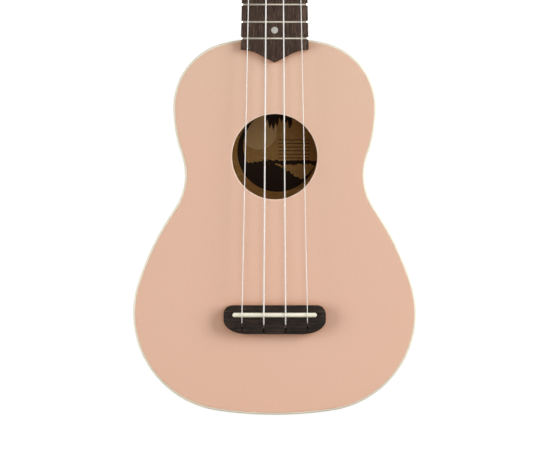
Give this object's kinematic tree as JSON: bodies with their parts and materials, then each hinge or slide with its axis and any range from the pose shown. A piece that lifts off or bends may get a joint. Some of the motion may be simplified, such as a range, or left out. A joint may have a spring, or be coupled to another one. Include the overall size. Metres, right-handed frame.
{
  "type": "ukulele",
  "caption": "Soprano ukulele: shallow figure-eight body with a round sound hole, slotted bridge, fretted neck joined to the body, and geared tuners whose knobs turn the string posts.",
  "frame": {"origin": "on the outer face of the flat back, on the centre line, halfway along the body", "axes": "+Y along the neck from the tail towards the headstock, +Z out of the soundboard, +X across the strings towards the thinnest string"},
  "size_m": [0.1774, 0.5173, 0.0704],
  "materials": {
    "body_paint": "satin shell-pink lacquer over laminated wood",
    "binding": "cream",
    "raw_wood": "unfinished",
    "neck_wood": "satin",
    "fingerboard_wood": "oiled",
    "bridge_wood": "oiled",
    "nickel": "nickel plated",
    "brass": "machined",
    "nylon": "clear",
    "pearl": "pearl",
    "ivory_plastic": "polished",
    "label_paper": "printed"
  },
  "bodies": {
    "root": {"top_plate": "body_paint", "back_plate": "body_paint", "side_left": "body_paint", "side_right": "body_paint", "top_binding": "binding", "back_binding": "binding", "top_linings": "raw_wood", "back_linings": "raw_wood", "head_block": "raw_wood", "tail_block": "raw_wood", "top_braces": "raw_wood", "back_braces": "raw_wood", "bridge_patch": "raw_wood", "label": "label_paper", "neck": "neck_wood", "heel": "neck_wood", "heel_cap": "binding", "headstock": "neck_wood", "neck_dowel": "raw_wood", "fingerboard": "fingerboard_wood", "frets": "nickel", "position_dots": "pearl", "side_dots": "pearl", "nut": "ivory_plastic", "saddle": "ivory_plastic", "bridge": "bridge_wood", "tuner_bushings": "nickel", "tuner_screws": "nickel", "string_g": "nylon", "string_c": "nylon", "string_e": "nylon", "string_a": "nylon", "tuner_plate_g": "nickel", "tuner_plate_c": "nickel", "tuner_plate_e": "nickel", "tuner_plate_a": "nickel"},
    "knob_g": {"worm_shaft_g": "nickel", "button_g": "pearl"},
    "capstan_g": {"post_g": "nickel", "gear_g": "brass", "gear_screw_g": "nickel", "winding_g": "nylon"},
    "knob_c": {"worm_shaft_c": "nickel", "button_c": "pearl"},
    "capstan_c": {"post_c": "nickel", "gear_c": "brass", "gear_screw_c": "nickel", "winding_c": "nylon"},
    "knob_e": {"worm_shaft_e": "nickel", "button_e": "pearl"},
    "capstan_e": {"post_e": "nickel", "gear_e": "brass", "gear_screw_e": "nickel", "winding_e": "nylon"},
    "knob_a": {"worm_shaft_a": "nickel", "button_a": "pearl"},
    "capstan_a": {"post_a": "nickel", "gear_a": "brass", "gear_screw_a": "nickel", "winding_a": "nylon"}
  },
  "joints": [
    {"name": "turn_knob_g", "type": "hinge", "parent": "root", "child": "knob_g", "pos_m": [-0.0155, 0.31894, 0.0395], "axis": [1, 0, 0], "continuous": true},
    {"name": "turn_post_g", "type": "hinge", "parent": "root", "child": "capstan_g", "pos_m": [-0.0155, 0.3286, 0.05293], "axis": [0, 0.2079, 0.9781], "continuous": true},
    {"name": "turn_knob_c", "type": "hinge", "parent": "root", "child": "knob_c", "pos_m": [-0.0155, 0.36198, 0.03035], "axis": [1, 0, 0], "continuous": true},
    {"name": "turn_post_c", "type": "hinge", "parent": "root", "child": "capstan_c", "pos_m": [-0.0155, 0.37164, 0.04378], "axis": [0, 0.2079, 0.9781], "continuous": true},
    {"name": "turn_knob_e", "type": "hinge", "parent": "root", "child": "knob_e", "pos_m": [0.0155, 0.36198, 0.03035], "axis": [1, 0, 0], "continuous": true},
    {"name": "turn_post_e", "type": "hinge", "parent": "root", "child": "capstan_e", "pos_m": [0.0155, 0.37164, 0.04378], "axis": [0, 0.2079, 0.9781], "continuous": true},
    {"name": "turn_knob_a", "type": "hinge", "parent": "root", "child": "knob_a", "pos_m": [0.0155, 0.31894, 0.0395], "axis": [1, 0, 0], "continuous": true},
    {"name": "turn_post_a", "type": "hinge", "parent": "root", "child": "capstan_a", "pos_m": [0.0155, 0.3286, 0.05293], "axis": [0, 0.2079, 0.9781], "continuous": true}
  ],
  "couplings": [
    {"joint": "turn_post_g", "follows": "turn_knob_g", "ratio": 0.071429},
    {"joint": "turn_post_c", "follows": "turn_knob_c", "ratio": 0.071429},
    {"joint": "turn_post_e", "follows": "turn_knob_e", "ratio": -0.071429},
    {"joint": "turn_post_a", "follows": "turn_knob_a", "ratio": -0.071429}
  ]
}
